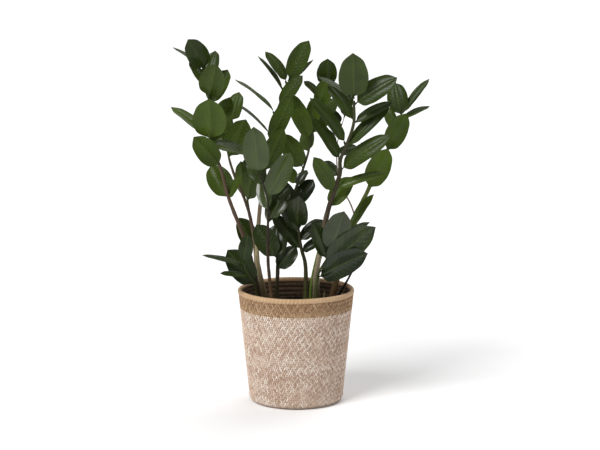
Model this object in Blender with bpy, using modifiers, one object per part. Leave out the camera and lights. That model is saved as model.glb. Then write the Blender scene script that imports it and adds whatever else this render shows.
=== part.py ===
"""Potted ZZ plant (Zamioculcas) in a sewn jute-braid basket.

Frame: metres, +Z up, -Y towards the front. The origin is on the basket's axis, at the
flat underside it stands on. A nursery pot stands on the basket's floor and holds soil
and rhizomes. Thirteen fronds grow from the rhizomes: each is a fleshy stalk, and a leafy
top of leaflets on a thin midrib. Two young shoots stand among them.
"""

import bmesh
import bpy
from math import cos, pi, radians, sin
from mathutils import Matrix, Vector
from mathutils.bvhtree import BVHTree

# ---------------------------------------------------------------- driving dimensions
CLEARANCE = 0.0003            # gap left between pieces that touch

BASKET_HEIGHT = 0.193
BASKET_TOP_RADIUS = 0.100     # outside, at the rim
BASKET_FOOT_RADIUS = 0.0815   # outside, where the straight wall meets the bottom edge
BASKET_WALL = 0.006
BASKET_EDGE = 0.009           # radius of the rounded bottom edge
BASKET_FILLET = 0.004         # slope between the floor and the wall inside
BAND_HEIGHT = 0.033           # darker rows sewn on at the top
RIM_ROLL = 0.0022             # how far the rolled rim stands out of the wall

POT_BELOW_RIM = 0.0337        # the pot's rim below the basket's
POT_TOP_ROOM = 0.0026         # air between the pot's lip and the basket
POT_FOOT_ROOM = 0.014         # air between the pot's foot and the basket
POT_WALL = 0.0012
POT_LIP = 0.0035              # how far the lip stands out
POT_LIP_DEPTH = 0.008
POT_HOLE = 0.005              # radius of a drain hole
POT_HOLES = 5

SOIL_BELOW_LIP = 0.004
SOIL_DOME = 0.002             # the middle of the soil stands this much proud
ROOT_DEPTH = 0.050            # below the soil, where the pot's width limits the roots
ROOT_SPREAD = 1.094           # one root unit, in shares of the pot's inner radius there

FROND_HEIGHT = 0.400          # one unit of the fronds' routes, above the soil
STALK_SWELL = 1.20            # a stalk's foot, in shares of its thickness above
SWELL_REACH = 0.2             # share of a frond's height over which the swelling fades
RACHIS_TAPER = 0.45           # the tip of the midrib, in the same shares

LEAFLET_LENGTH = 0.080        # one unit of the leaflets' reach
LEAFLET_WIDTH = 0.036         # width of a leaflet one unit long
LEAFLET_THICKNESS = 0.0012
LEAFLET_FOLD = 0.13           # how far the edges rise, in shares of the half width
LEAFLET_BOW = 0.05            # how far the midrib arches, in shares of the length
PETIOLE = 0.0013              # half width of a leaflet's short stalk
PETIOLE_REACH = 0.125         # share of a leaflet's length that its stalk thickens
BARE_BELOW_LEAFLET = 0.012    # the leafy top starts this far below its first leaflet
JOINT_ROOM = 0.006            # a joint keeps this far from a bend of its stalk
BLADE_ROOM = 0.0008           # air kept around a blade

TURNING_STEPS = 48            # facets around the basket and the pot
SOIL_STEPS = 24               # facets around the soil

# ---------------------------------------------------------------- rhizomes
# (across, back) of the middle, in root units
RHIZOME_PLACES = {
    "rhizome_front_left": (-0.53, -0.20),
    "rhizome_back_left": (-0.53, 0.31),
    "rhizome_front_right": (0.47, -0.25),
    "rhizome_back_right": (0.55, 0.26),
}
RHIZOME_REACH = (0.34, 0.235, 0.19)   # half sizes, in root units
RHIZOME_DEPTH = 0.018                 # top of a rhizome below the soil

# ---------------------------------------------------------------- fronds
# foot: (across, back) where the stalk leaves the soil, in root units
# thick: radius of the stalk
# route: (across, back, up) from the foot, in shares of FROND_HEIGHT
# leaflets: where each grows (up, in the same shares), its reach from there to its tip
#     (across, back, up, in shares of LEAFLET_LENGTH), how far its upper face turns from
#     the front towards the sky (degrees), and its width (1 is the usual)
FRONDS = {
    "far_left": {
        "foot": (-0.72, -0.12),
        "thick": 0.0046,
        "route": [
            (-0.04, 0.00, 0.21), (-0.07, -0.02, 0.32), (-0.13, -0.04, 0.48), (-0.17, -0.06, 0.63),
            (-0.21, -0.07, 0.75), (-0.21, -0.09, 0.86), (-0.21, -0.09, 0.92), (-0.22, -0.11, 1.04),
        ],
        "leaflets": [
            (1.04, -0.34, -0.44, 0.63, 10, 1.21),
            (1.03, -0.70, 0.00, 0.47, 82, 0.90),
            (0.95, -0.40, 0.15, 0.58, 50, 0.89),
            (0.98, 0.14, 0.38, 0.59, 30, 1.17),
            (0.92, 0.18, -0.56, 0.72, 5, 1.30),
            (0.89, 0.38, 0.23, 0.70, 30, 1.22),
            (0.74, 0.00, -0.25, 0.93, 0, 1.63),
            (0.72, 0.38, 0.38, 0.96, 25, 0.91),
            (0.75, -0.84, 0.00, 0.63, 62, 0.73),
            (0.63, -0.54, -0.25, 0.68, 15, 1.18),
            (0.49, -0.40, 0.25, 0.69, 15, 1.40),
            (0.49, 0.16, 0.00, 0.57, 50, 1.00),
            (0.72, 0.81, -0.25, -0.23, 50, 1.10),
        ],
    },
    "left_middle": {
        "foot": (-0.80, 0.26),
        "thick": 0.0042,
        "route": [
            (-0.01, 0.01, 0.25), (-0.03, 0.03, 0.38), (-0.05, 0.03, 0.45), (-0.07, 0.04, 0.50),
            (-0.09, 0.05, 0.54), (-0.12, 0.06, 0.63), (-0.13, 0.07, 0.71), (-0.11, 0.08, 0.79),
        ],
        "leaflets": [
            (0.79, 0.16, 0.13, 0.64, 25, 1.25),
            (0.64, 0.37, 0.00, 0.82, 20, 1.33),
            (0.73, -0.19, 0.44, 0.54, 30, 1.19),
            (0.68, -0.36, 0.50, 0.50, 20, 1.28),
        ],
    },
    "left_back": {
        "foot": (-0.66, 0.52),
        "thick": 0.0032,
        "route": [
            (-0.04, 0.01, 0.24), (-0.05, 0.04, 0.34), (-0.07, 0.07, 0.42), (-0.08, 0.09, 0.49),
            (-0.09, 0.10, 0.54),
        ],
        "leaflets": [
            (0.45, -0.14, 0.00, 0.83, 20, 0.99),
            (0.44, 0.19, 0.12, 0.90, 25, 1.11),
            (0.51, -0.02, 0.37, 0.52, 50, 1.23),
            (0.24, -0.34, -0.12, 0.72, 10, 1.15),
        ],
    },
    "tall_left": {
        "foot": (-0.60, 0.16),
        "thick": 0.0048,
        "route": [
            (-0.04, -0.02, 0.20), (-0.04, 0.00, 0.30), (-0.03, 0.04, 0.44), (-0.01, 0.08, 0.58),
            (0.01, 0.12, 0.69), (0.03, 0.15, 0.79), (0.06, 0.18, 0.88), (0.09, 0.20, 0.96),
        ],
        "leaflets": [
            (0.96, 0.45, -0.12, 0.87, 20, 0.99),
            (0.95, -0.48, 0.13, 0.66, 50, 0.89),
            (0.91, -0.56, 0.00, 0.77, 75, 0.75),
            (0.90, 0.68, 0.25, 0.75, 70, 0.61),
            (0.85, 0.51, 0.15, 0.67, 30, 0.90),
            (0.70, 0.48, -0.15, 1.00, 15, 0.78),
            (0.82, -0.89, 0.00, 0.73, 86, 0.70),
            (0.73, -0.91, 0.00, 0.76, 86, 0.68),
            (0.58, 0.41, -0.13, 0.95, 20, 0.92),
        ],
    },
    "front_left": {
        "foot": (-0.47, -0.28),
        "thick": 0.0036,
        "route": [
            (-0.02, -0.02, 0.21), (-0.02, -0.06, 0.36), (-0.02, -0.11, 0.50), (-0.04, -0.14, 0.58),
            (-0.06, -0.15, 0.62),
        ],
        "leaflets": [
            (0.61, -0.10, -0.19, 1.01, 5, 1.17),
            (0.56, -0.32, 0.25, 0.51, 30, 1.26),
            (0.51, 0.49, -0.12, 0.95, 15, 0.94),
            (0.41, 0.44, 0.12, 0.66, 20, 1.11),
            (0.45, -0.12, 0.38, 0.70, 25, 1.01),
            (0.39, 0.24, -0.15, 0.82, 30, 0.84),
        ],
    },
    "centre_back": {
        "foot": (-0.42, 0.38),
        "thick": 0.0036,
        "route": [
            (0.01, 0.00, 0.19), (0.01, 0.03, 0.29), (0.04, 0.06, 0.39), (0.09, 0.09, 0.51),
            (0.12, 0.12, 0.58), (0.14, 0.14, 0.65), (0.16, 0.17, 0.74), (0.19, 0.20, 0.85),
            (0.22, 0.23, 0.94),
        ],
        "leaflets": [
            (0.93, 0.03, -0.38, 0.62, 0, 1.35),
            (0.88, -0.40, 0.00, 0.36, 50, 0.94),
            (0.83, 0.24, 0.12, 0.73, 30, 1.24),
            (0.79, 0.41, 0.37, 0.39, 20, 1.40),
            (0.75, 0.03, 0.25, 0.64, 30, 1.12),
            (0.70, -0.47, -0.25, 1.02, 15, 0.76),
            (0.65, -0.04, 0.37, 0.61, 20, 1.11),
            (0.58, -0.51, -0.12, 0.77, 25, 1.10),
            (0.52, -0.38, 0.00, 0.39, 40, 1.40),
            (0.73, 0.40, 0.37, 0.40, 30, 1.06),
        ],
    },
    "main_right": {
        "foot": (0.42, -0.26),
        "thick": 0.0064,
        "route": [
            (0.00, -0.02, 0.19), (0.02, -0.03, 0.28), (0.03, -0.05, 0.37), (0.05, -0.07, 0.46),
            (0.07, -0.08, 0.53), (0.09, -0.09, 0.60), (0.10, -0.11, 0.66), (0.12, -0.12, 0.71),
            (0.13, -0.13, 0.77), (0.15, -0.14, 0.82), (0.15, -0.16, 0.92),
        ],
        "leaflets": [
            (0.92, -0.04, -0.44, 0.98, 0, 1.26),
            (0.90, 0.87, -0.13, 0.55, 30, 1.04),
            (0.92, -0.73, 0.12, 0.46, 70, 0.68),
            (0.83, -0.53, 0.19, 0.72, 45, 0.83),
            (0.82, 0.80, 0.15, 0.42, 50, 0.70),
            (0.72, 0.87, -0.25, 0.84, 35, 0.53),
            (0.73, -0.77, -0.13, 0.98, 50, 0.63),
            (0.62, 1.04, -0.25, 0.76, 30, 0.69),
            (0.66, -0.62, -0.13, 0.92, 45, 0.68),
            (0.53, -0.46, -0.25, 0.85, 15, 0.76),
            (0.54, 1.04, 0.00, 0.34, 55, 0.52),
            (0.46, 0.50, 0.25, 0.63, 20, 1.06),
        ],
    },
    "behind_right": {
        "foot": (0.78, 0.36),
        "thick": 0.0020,
        "route": [
            (0.09, 0.01, 0.17), (0.10, 0.04, 0.26), (0.10, 0.07, 0.34), (0.09, 0.09, 0.39),
            (0.07, 0.11, 0.44), (0.04, 0.13, 0.49), (0.02, 0.16, 0.56), (0.02, 0.18, 0.63),
            (0.02, 0.21, 0.70), (0.05, 0.25, 0.79),
        ],
        "leaflets": [
            (0.79, 0.16, 0.12, 0.63, 30, 0.96),
            (0.76, -0.40, 0.25, 0.34, 30, 1.08),
            (0.67, -0.35, 0.00, 0.42, 40, 1.12),
            (0.64, 0.46, 0.38, 0.09, 30, 0.89),
            (0.54, -0.33, 0.37, 0.30, 20, 1.05),
        ],
    },
    "far_right": {
        "foot": (0.70, 0.18),
        "thick": 0.0056,
        "route": [
            (0.04, 0.00, 0.16), (0.06, 0.01, 0.25), (0.08, 0.02, 0.33), (0.13, 0.03, 0.44),
            (0.17, 0.04, 0.52), (0.19, 0.05, 0.60), (0.25, 0.06, 0.68), (0.28, 0.07, 0.76),
            (0.31, 0.07, 0.83),
        ],
        "leaflets": [
            (0.82, -0.14, 0.25, 0.68, 15, 1.37),
            (0.83, 0.57, -0.12, 0.73, 50, 0.53),
            (0.80, 0.66, 0.25, 0.28, 60, 0.59),
            (0.67, 0.40, -0.31, 0.84, 10, 1.02),
            (0.51, 0.40, -0.25, 0.90, 5, 1.10),
            (0.33, 0.57, -0.13, 0.96, 50, 0.53),
            (0.75, -0.18, 0.38, 0.52, 30, 0.99),
            (0.63, -0.38, 0.37, 0.34, 30, 0.90),
        ],
    },
    "low_right": {
        "foot": (0.45, -0.44),
        "thick": 0.0034,
        "route": [
            (-0.01, -0.01, 0.10), (0.00, -0.01, 0.16), (0.04, -0.02, 0.25), (0.08, -0.03, 0.32),
        ],
        "leaflets": [
            (0.32, 0.69, 0.12, 0.38, 70, 0.76),
            (0.18, 1.17, -0.37, 1.08, 25, 0.82),
            (0.16, 1.02, -0.69, 0.64, 30, 0.88),
            (0.27, 0.27, 0.38, 0.86, 5, 1.31),
            (0.24, -0.25, 0.50, 0.68, 15, 0.91),
        ],
    },
    "centre_dark": {
        "foot": (0.20, -0.18),
        "thick": 0.0046,
        "route": [
            (0.00, 0.00, 0.19), (-0.02, -0.02, 0.28), (-0.03, -0.04, 0.36), (-0.04, -0.06, 0.47),
            (-0.04, -0.07, 0.55),
        ],
        "leaflets": [
            (0.55, 0.23, 0.12, 0.32, 50, 1.43),
            (0.47, 0.36, 0.12, 0.51, 30, 1.30),
            (0.34, -0.41, -0.25, 1.14, 15, 0.87),
            (0.27, -0.62, -0.13, 0.76, 30, 0.79),
            (0.31, 0.48, 0.13, 0.43, 40, 1.12),
            (0.26, 0.38, 0.00, 0.26, 55, 1.39),
            (0.37, 0.02, -0.44, 0.87, 20, 1.05),
        ],
    },
    "small_centre": {
        "foot": (-0.40, -0.07),
        "thick": 0.0030,
        "route": [
            (0.00, 0.00, 0.15), (0.00, -0.01, 0.21), (0.00, -0.04, 0.27),
        ],
        "leaflets": [
            (0.23, -0.43, 0.13, 0.70, 10, 1.30),
            (0.22, 0.00, 0.38, 0.73, 15, 1.38),
            (0.18, 0.42, -0.12, 0.47, 15, 1.32),
        ],
    },
    "low_left": {
        "foot": (-0.78, -0.28),
        "thick": 0.0032,
        "route": [
            (-0.01, -0.01, 0.11), (-0.03, -0.04, 0.16), (-0.05, -0.07, 0.21), (-0.06, -0.09, 0.25),
        ],
        "leaflets": [
            (0.21, -0.91, 0.00, 0.25, 70, 0.48),
            (0.16, -0.63, -0.25, 0.13, 65, 0.69),
            (0.12, -0.51, -0.44, 0.69, 15, 1.25),
            (0.23, 0.08, -0.25, 0.55, 15, 1.16),
        ],
    },
}

# Young shoots: foot as above, radius at the foot, and route as above, ending in a point
SHOOTS = {
    "young_shoot_green": {
        "foot": (0.30, -0.44),
        "thick": 0.0034,
        "route": [(0.00, -0.01, 0.11), (0.01, -0.02, 0.19), (0.03, -0.02, 0.28)],
    },
    "young_shoot_pale": {
        "foot": (0.60, -0.42),
        "thick": 0.0026,
        "route": [(-0.007, 0.0, 0.05), (-0.003, -0.004, 0.10)],
    },
}

# ---------------------------------------------------------------- derived places
BASKET_FLOOR = BASKET_WALL
BAND_BOTTOM = BASKET_HEIGHT - BAND_HEIGHT
POT_BOTTOM = BASKET_FLOOR + CLEARANCE
POT_RIM = BASKET_HEIGHT - POT_BELOW_RIM
SOIL_TOP = POT_RIM - SOIL_BELOW_LIP
ROUTE_STEPS = 3               # straight pieces between two points of a route
BLADE_STATIONS = (0.0, 0.06, 0.16, 0.32, 0.52, 0.72, 0.88)


def basket_outside(height):
    """Radius of the basket's straight outer wall at a height."""
    share = (height - BASKET_EDGE) / (BASKET_HEIGHT - BASKET_EDGE)
    return BASKET_FOOT_RADIUS + (BASKET_TOP_RADIUS - BASKET_FOOT_RADIUS) * share


POT_LIP_RADIUS = basket_outside(POT_RIM) - BASKET_WALL - POT_TOP_ROOM
POT_TOP_RADIUS = POT_LIP_RADIUS - POT_LIP
POT_FOOT_RADIUS = BASKET_FOOT_RADIUS - BASKET_WALL - POT_FOOT_ROOM


def pot_inside(height):
    """Radius of the nursery pot's inside at a height."""
    share = (height - POT_BOTTOM) / (POT_RIM - POT_BOTTOM)
    return POT_FOOT_RADIUS + (POT_TOP_RADIUS - POT_FOOT_RADIUS) * share - POT_WALL


FLAT = cos(pi / TURNING_STEPS)  # a facet's middle, in shares of its corners' radius
SOIL_RADIUS = pot_inside(SOIL_TOP) * FLAT - CLEARANCE
ROOT_UNIT = ROOT_SPREAD * pot_inside(SOIL_TOP - ROOT_DEPTH)


# ---------------------------------------------------------------- scene and materials
def clear_scene():
    for item in list(bpy.data.objects):
        bpy.data.objects.remove(item, do_unlink=True)


def new_collection(name):
    collection = bpy.data.collections.new(name)
    bpy.context.scene.collection.children.link(collection)
    return collection


def material(name, color, roughness):
    surface = bpy.data.materials.new(name)
    surface.use_nodes = True
    shader = surface.node_tree.nodes["Principled BSDF"]
    shader.inputs["Base Color"].default_value = (*color, 1.0)
    shader.inputs["Roughness"].default_value = roughness
    shader.inputs["Metallic"].default_value = 0.0
    surface.diffuse_color = (*color, 1.0)
    return surface


def leaf_material():
    return material("leaf", (0.045, 0.095, 0.025), 0.28)


def stalk_material():
    return material("stalk", (0.16, 0.13, 0.055), 0.45)


def shoot_material():
    return material("shoot", (0.13, 0.20, 0.05), 0.40)


def rhizome_material():
    return material("rhizome", (0.38, 0.24, 0.12), 0.75)


def soil_material():
    return material("soil", (0.035, 0.020, 0.010), 0.95)


def pot_material():
    return material("nursery_pot", (0.02, 0.02, 0.02), 0.5)


def basket_material():
    return material("pale_jute", (0.62, 0.50, 0.38), 0.85)


def band_material():
    return material("natural_jute", (0.42, 0.27, 0.15), 0.85)


# ---------------------------------------------------------------- modelling helpers
def add_object(name, mesh, collection, surface=None):
    item = bpy.data.objects.new(name, mesh)
    collection.objects.link(item)
    if surface:
        mesh.materials.clear()
        mesh.materials.append(surface)
    return item


def mesh_from(vertices, faces, name):
    mesh = bpy.data.meshes.new(name)
    mesh.from_pydata([tuple(point) for point in vertices], [], faces)
    mesh.update()
    return mesh


def turned(name, profile, collection, surface, closed=False, steps=TURNING_STEPS):
    """Turn a profile of (radius, height) points about Z, down its outer side."""
    edges = [(i, i + 1) for i in range(len(profile) - 1)]
    if closed:
        edges.append((len(profile) - 1, 0))
    mesh = bpy.data.meshes.new(name)
    mesh.from_pydata([(radius, 0.0, height) for radius, height in profile], edges, [])
    item = add_object(name, mesh, collection, surface)
    screw = item.modifiers.new("turn", "SCREW")
    screw.steps = steps
    screw.render_steps = steps
    screw.use_merge_vertices = True
    screw.merge_threshold = 0.00001
    return item


def evaluated_copy(item):
    """The object's mesh with its modifiers applied."""
    bpy.context.view_layer.update()
    graph = bpy.context.evaluated_depsgraph_get()
    return bpy.data.meshes.new_from_object(item.evaluated_get(graph))


def solid_tree(item):
    mesh = evaluated_copy(item)
    tree = BVHTree.FromPolygons([v.co.copy() for v in mesh.vertices],
                                [tuple(p.vertices) for p in mesh.polygons])
    bpy.data.meshes.remove(mesh)
    return tree


def apply_boolean(item, other, operation):
    """Apply a Boolean with another object, and leave that object as it is."""
    step = item.modifiers.new(operation.lower(), "BOOLEAN")
    step.operation = operation
    step.solver = "EXACT"
    step.object = other
    result = evaluated_copy(item)
    item.modifiers.clear()
    old = item.data
    item.data = result
    bpy.data.meshes.remove(old)


def discard(item):
    bpy.data.objects.remove(item, do_unlink=True)


def guide(item):
    """Mark a cutter: never rendered, drawn as wire."""
    item.hide_render = True
    item.display_type = "WIRE"
    return item


def smooth_route(points):
    """Catmull-Rom curve through the points, ROUTE_STEPS pieces to a span."""
    padded = [points[0] * 2 - points[1], *points, points[-1] * 2 - points[-2]]
    curve = []
    for a, b, c, d in zip(padded, padded[1:], padded[2:], padded[3:]):
        for step in range(ROUTE_STEPS):
            t = step / ROUTE_STEPS
            curve.append(0.5 * (2 * b + (c - a) * t + (2 * a - 5 * b + 4 * c - d) * t ** 2
                                + (3 * b - a - 3 * c + d) * t ** 3))
    curve.append(points[-1].copy())
    return curve


def tube(name, points, thickness, collection, surface, roundness=2):
    """A round tube through the points, with its own radius at each."""
    curve = bpy.data.curves.new(name, "CURVE")
    curve.dimensions = "3D"
    curve.bevel_depth = 1.0
    curve.bevel_resolution = roundness
    curve.use_fill_caps = True
    spline = curve.splines.new("POLY")
    spline.points.add(len(points) - 1)
    for knot, point, radius in zip(spline.points, points, thickness):
        knot.co = (*point, 1.0)
        knot.radius = radius
    bar = bpy.data.objects.new(name + "_curve", curve)
    collection.objects.link(bar)
    mesh = evaluated_copy(bar)
    discard(bar)
    weld(mesh)
    return add_object(name, mesh, collection, surface)


def weld(mesh):
    shape = bmesh.new()
    shape.from_mesh(mesh)
    bmesh.ops.remove_doubles(shape, verts=shape.verts, dist=0.00001)
    bmesh.ops.recalc_face_normals(shape, faces=shape.faces)
    shape.to_mesh(mesh)
    shape.free()


# ---------------------------------------------------------------- basket and pot
def make_basket_body(collection):
    top = BAND_BOTTOM - CLEARANCE
    foot = BASKET_FOOT_RADIUS
    fillet_top = BASKET_FLOOR + BASKET_FILLET
    profile = [(0.0, BASKET_FLOOR), (foot - BASKET_WALL - BASKET_FILLET, BASKET_FLOOR),
               (basket_outside(fillet_top) - BASKET_WALL, fillet_top),
               (basket_outside(top) - BASKET_WALL, top), (basket_outside(top), top)]
    corner_steps = 4
    for i in range(corner_steps + 1):
        angle = pi / 2 * i / corner_steps
        profile.append((foot - BASKET_EDGE * (1 - cos(angle)),
                        BASKET_EDGE * (1 - sin(angle))))
    profile.append((0.0, 0.0))
    return turned("basket_body", profile, collection, basket_material())


def make_basket_band(collection):
    bottom = BAND_BOTTOM
    outer = basket_outside(bottom)
    rim = BASKET_TOP_RADIUS
    roll = RIM_ROLL
    profile = [(rim - BASKET_WALL, BASKET_HEIGHT - 0.4 * BASKET_WALL),
               (rim - 0.7 * BASKET_WALL, BASKET_HEIGHT), (rim - 0.1 * BASKET_WALL, BASKET_HEIGHT),
               (rim + 0.7 * roll, BASKET_HEIGHT - 0.3 * BASKET_WALL),
               (rim + 0.7 * roll, BASKET_HEIGHT - BASKET_WALL),
               (rim - 0.1 * roll, BASKET_HEIGHT - 1.5 * BASKET_WALL),
               (outer, bottom), (outer - BASKET_WALL, bottom)]
    return turned("basket_band", profile, collection, band_material(), closed=True)


def make_nursery_pot(collection, guides):
    foot = POT_FOOT_RADIUS
    lip_bottom = POT_RIM - POT_LIP_DEPTH
    profile = [(0.0, POT_BOTTOM + POT_WALL), (foot - POT_WALL, POT_BOTTOM + POT_WALL),
               (pot_inside(POT_RIM), POT_RIM), (POT_LIP_RADIUS, POT_RIM),
               (POT_LIP_RADIUS, lip_bottom), (pot_inside(lip_bottom) + POT_WALL, lip_bottom),
               (foot, POT_BOTTOM), (0.0, POT_BOTTOM)]
    pot = turned("nursery_pot", profile, collection, pot_material())
    shape = bmesh.new()
    for i in range(POT_HOLES):
        angle = 2 * pi * i / POT_HOLES
        at = Matrix.Translation((0.6 * foot * cos(angle), 0.6 * foot * sin(angle), POT_BOTTOM))
        bmesh.ops.create_cone(shape, cap_ends=True, segments=12, radius1=POT_HOLE,
                              radius2=POT_HOLE, depth=6 * POT_WALL, matrix=at)
    mesh = bpy.data.meshes.new("drain_holes")
    shape.to_mesh(mesh)
    shape.free()
    holes = guide(add_object("drain_holes", mesh, guides))
    apply_boolean(pot, holes, "DIFFERENCE")
    return pot


def make_soil(collection):
    bottom = POT_BOTTOM + POT_WALL + CLEARANCE
    profile = [(0.0, SOIL_TOP + SOIL_DOME), (0.35 * SOIL_RADIUS, SOIL_TOP + 0.8 * SOIL_DOME),
               (0.7 * SOIL_RADIUS, SOIL_TOP + 0.5 * SOIL_DOME), (SOIL_RADIUS, SOIL_TOP),
               (pot_inside(bottom) * FLAT - CLEARANCE, bottom), (0.0, bottom)]
    return turned("soil", profile, collection, soil_material(), steps=SOIL_STEPS)


# ---------------------------------------------------------------- rhizomes
def rhizome_centre(name):
    across, back = RHIZOME_PLACES[name]
    drop = RHIZOME_DEPTH + RHIZOME_REACH[2] * ROOT_UNIT
    return Vector((across * ROOT_UNIT, back * ROOT_UNIT, SOIL_TOP - drop))


def rhizome_shape(name, extra):
    """A lumpy potato-like body, grown by extra on every side."""
    shape = bmesh.new()
    bmesh.ops.create_icosphere(shape, subdivisions=2, radius=1.0)
    for vertex in shape.verts:
        x, y, z = vertex.co
        lump = 1.0 + 0.05 * sin(4 * x + 2 * y) * cos(3 * z - x)
        reach = [half * ROOT_UNIT for half in RHIZOME_REACH]
        vertex.co = [axis * lump * half for axis, half in zip((x, y, z), reach)]
    shape.normal_update()
    for vertex in shape.verts:
        vertex.co += vertex.normal * extra
    bmesh.ops.translate(shape, vec=rhizome_centre(name), verts=shape.verts)
    mesh = bpy.data.meshes.new(name)
    shape.to_mesh(mesh)
    shape.free()
    return mesh


def nearest_rhizome(foot):
    return min(RHIZOME_PLACES, key=lambda name: (Vector(RHIZOME_PLACES[name]) - foot).length)


# ---------------------------------------------------------------- stalks
def frond_path(plan):
    """Points of a frond's centre line, from inside its rhizome to the tip."""
    foot = Vector(plan["foot"])
    ground = Vector((foot.x * ROOT_UNIT, foot.y * ROOT_UNIT, SOIL_TOP))
    route = [ground + Vector(step) * FROND_HEIGHT for step in plan["route"]]
    root = rhizome_centre(nearest_rhizome(foot))
    root = Vector((ground.x, ground.y, root.z))
    return smooth_route([root, ground, *route])


def taper(path, thick, tip_share):
    """Radius along a path: swollen at the soil, thin at the tip."""
    radii = []
    for point in path:
        up = (point.z - SOIL_TOP) / max(path[-1].z - SOIL_TOP, 0.001)
        swell = (STALK_SWELL - 1.0) * max(0.0, 1.0 - abs(up) / SWELL_REACH)
        along = 1.0 - (1.0 - tip_share) * max(0.0, up)
        radii.append(thick * (along + swell))
    return radii


def crossing(path, height):
    """The index of the first point of a path above a height, and the point at it."""
    above = next(i for i, point in enumerate(path) if point.z > height)
    low, high = path[above - 1], path[above]
    return above, low.lerp(high, (height - low.z) / (high.z - low.z))


def split_frond(path, radii, height):
    """A frond's stalk and midrib as (points, radii), with a clear joint at a height."""
    above, joint = crossing(path, height)
    along = (path[above] - path[above - 1]).normalized()
    radius = radii[above]
    stalk = [pair for pair in zip(path[:above], radii) if (pair[0] - joint).length > JOINT_ROOM]
    midrib = [pair for pair in zip(path[above:], radii[above:])
              if (pair[0] - joint).length > JOINT_ROOM]
    stalk += [(joint - along * 0.6 * JOINT_ROOM, radius), (joint, radius)]
    start = joint + along * CLEARANCE
    midrib = [(start, radius), (start + along * 0.6 * JOINT_ROOM, radius), *midrib]
    return tuple(zip(*stalk)), tuple(zip(*midrib))


def make_stalk(name, points, radii, collection, surface):
    """A stalk that stands on its rhizome, cut with a clearance to every rhizome."""
    stalk = tube(name, points, radii, collection, surface)
    for rhizome in RHIZOME_PLACES:
        seat = add_object("seat", rhizome_shape(rhizome, CLEARANCE), collection)
        apply_boolean(stalk, seat, "DIFFERENCE")
        discard(seat)
    return stalk


# ---------------------------------------------------------------- leaflets
def blade_shape(share):
    """Half width of a blade along its length, from 0 at the base to 1 at the widest."""
    rise, fall = 0.58, 0.66
    widest = rise / (rise + fall)
    peak = widest ** rise * (1 - widest) ** fall
    return share ** rise * (1 - share) ** fall / peak


def leaflet_frame(reach, turn):
    """Unit vectors along a leaflet, out of its upper face, and across it."""
    along = reach.normalized()
    front = Vector((0, -1, 0))
    front = (front - along * front.dot(along)).normalized()
    sky = along.cross(front)
    if sky.dot(Vector((-0.3, 0, 1))) < 0:
        sky = -sky
    face = front * cos(radians(turn)) + sky * sin(radians(turn))
    return along, face, face.cross(along)


def leaflet_mesh(base, reach, turn, width, room=0.0, first=0):
    """A folded, arched blade: four corners at each station and one point at the tip."""
    size = reach.length
    along, face, side = leaflet_frame(reach, turn)
    half = 0.5 * LEAFLET_WIDTH * width * size / LEAFLET_LENGTH
    points = []
    for station in BLADE_STATIONS[first:]:
        blade = max(0.0, station - BLADE_STATIONS[1]) / (1 - BLADE_STATIONS[1])
        wide = PETIOLE + (half - PETIOLE) * blade_shape(blade) + room
        middle = base + along * size * station + face * size * LEAFLET_BOW * sin(pi * station)
        thick = LEAFLET_THICKNESS + PETIOLE * max(0.0, 1 - station / PETIOLE_REACH)
        raised = face * (LEAFLET_FOLD * (wide - PETIOLE) - 0.5 * thick)
        points += [middle - side * wide + raised, middle + face * room,
                   middle + side * wide + raised, middle - face * (thick + room)]
    points.append(base + along * (size + room))
    rings = len(BLADE_STATIONS) - first
    faces = [(0, 2, 1), (0, 3, 2)]
    for ring in range(rings - 1):
        for corner in range(4):
            a = 4 * ring + corner
            b = 4 * ring + (corner + 1) % 4
            faces += [(a, b, b + 4), (a, b + 4, a + 4)]
    last = 4 * (rings - 1)
    tip = len(points) - 1
    faces += [(last + corner, last + (corner + 1) % 4, tip) for corner in range(4)]
    return points, faces


def bend_choices():
    """Small changes to a leaflet, (sway, lean back, turn), from the smallest up."""
    sways = (0.0, 0.15, -0.15, 0.3, -0.3)
    leans = (0.0, 0.12, -0.12, 0.25, -0.25, 0.4, -0.4, 0.6, -0.6, 0.8, -0.8, 1.1, -1.1)
    turns = (0, 12, -12, 25, -25, 45, -45)
    choices = [(sway, lean, turn) for sway in sways for lean in leans for turn in turns]
    return sorted(choices, key=lambda c: 3 * abs(c[0]) + abs(c[1]) + abs(c[2]) / 60)


BEND_CHOICES = bend_choices()


def is_clear(base, reach, turn, width, others, own):
    """Whether a leaflet misses other fronds, and its blade misses its own frond."""
    whole = BVHTree.FromPolygons(*leaflet_mesh(base, reach, turn, width, BLADE_ROOM))
    if any(whole.overlap(other) for other in others):
        return False
    blade = BVHTree.FromPolygons(*leaflet_mesh(base, reach, turn, width, BLADE_ROOM, 2))
    return not any(blade.overlap(other) for other in own)


def settle_leaflet(base, row, others, own):
    """The leaflet's own pose, or the nearest one that touches nothing placed before."""
    _, across, back, up, turn, width = row
    size = Vector((across, back, up)).length * LEAFLET_LENGTH
    for sway, lean, twist in BEND_CHOICES:
        reach = Vector((across + sway, back + lean, up)).normalized() * size
        if is_clear(base, reach, turn + twist, width, others, own):
            return reach, turn + twist
    raise ValueError("a leaflet has no free place")


def path_at(path, height):
    """The point of a path at a height, or just under its tip."""
    return crossing(path, min(height, path[-1].z - 0.0005))[1]


def make_leaves(plan, path, rachis, others, surface):
    """Join a frond's leaflets to its midrib, each clear of what was placed before."""
    own = [solid_tree(rachis)]
    for number, row in enumerate(plan["leaflets"]):
        base = path_at(path, SOIL_TOP + row[0] * FROND_HEIGHT)
        reach, turn = settle_leaflet(base, row, others, own)
        points, faces = leaflet_mesh(base, reach, turn, row[5])
        own.append(BVHTree.FromPolygons(points, faces))
        leaflet = add_object(f"leaflet_{number}", mesh_from(points, faces, "leaflet"),
                             rachis.users_collection[0], surface)
        apply_boolean(rachis, leaflet, "UNION")
        discard(leaflet)
    return own


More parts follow.
